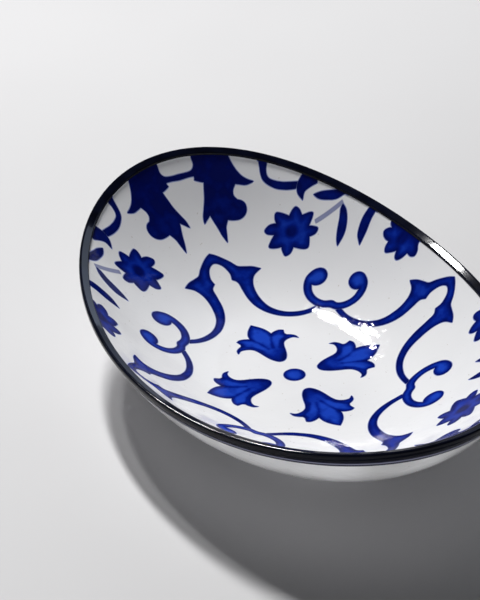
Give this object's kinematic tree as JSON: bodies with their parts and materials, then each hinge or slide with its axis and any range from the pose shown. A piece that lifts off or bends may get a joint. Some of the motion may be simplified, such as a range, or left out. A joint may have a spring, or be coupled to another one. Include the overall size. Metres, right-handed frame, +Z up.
{
  "type": "soy sauce dish",
  "caption": "Small oval porcelain dish with raised ends, a dark lip and a blue tulip and scroll ornament inside, for dipping sauce.",
  "frame": {"origin": "centre of the dish's plan, on the plane that the foot ring stands on", "axes": "+X along the long axis, +Y along the short axis, +Z up out of the bowl"},
  "size_m": [0.11, 0.0724, 0.0245],
  "materials": {
    "porcelain": "glossy white glaze, bare on the foot ring",
    "rim_colour": "glossy near-black blue band",
    "cobalt": "cobalt blue colour under a glossy glaze",
    "stem_wash": "pale grey-blue wash under a glossy glaze"
  },
  "bodies": {
    "root": {"dish_body": "porcelain", "rim_band": "rim_colour", "centre_dot": "cobalt", "tulips": "cobalt", "ogee_frame": "cobalt", "scroll_curls": "cobalt", "daisies": "cobalt", "daisy_stems": "stem_wash", "leaf_sprays": "cobalt", "palmettes": "cobalt", "rim_loops": "cobalt", "rim_buds": "cobalt"}
  },
  "joints": []
}
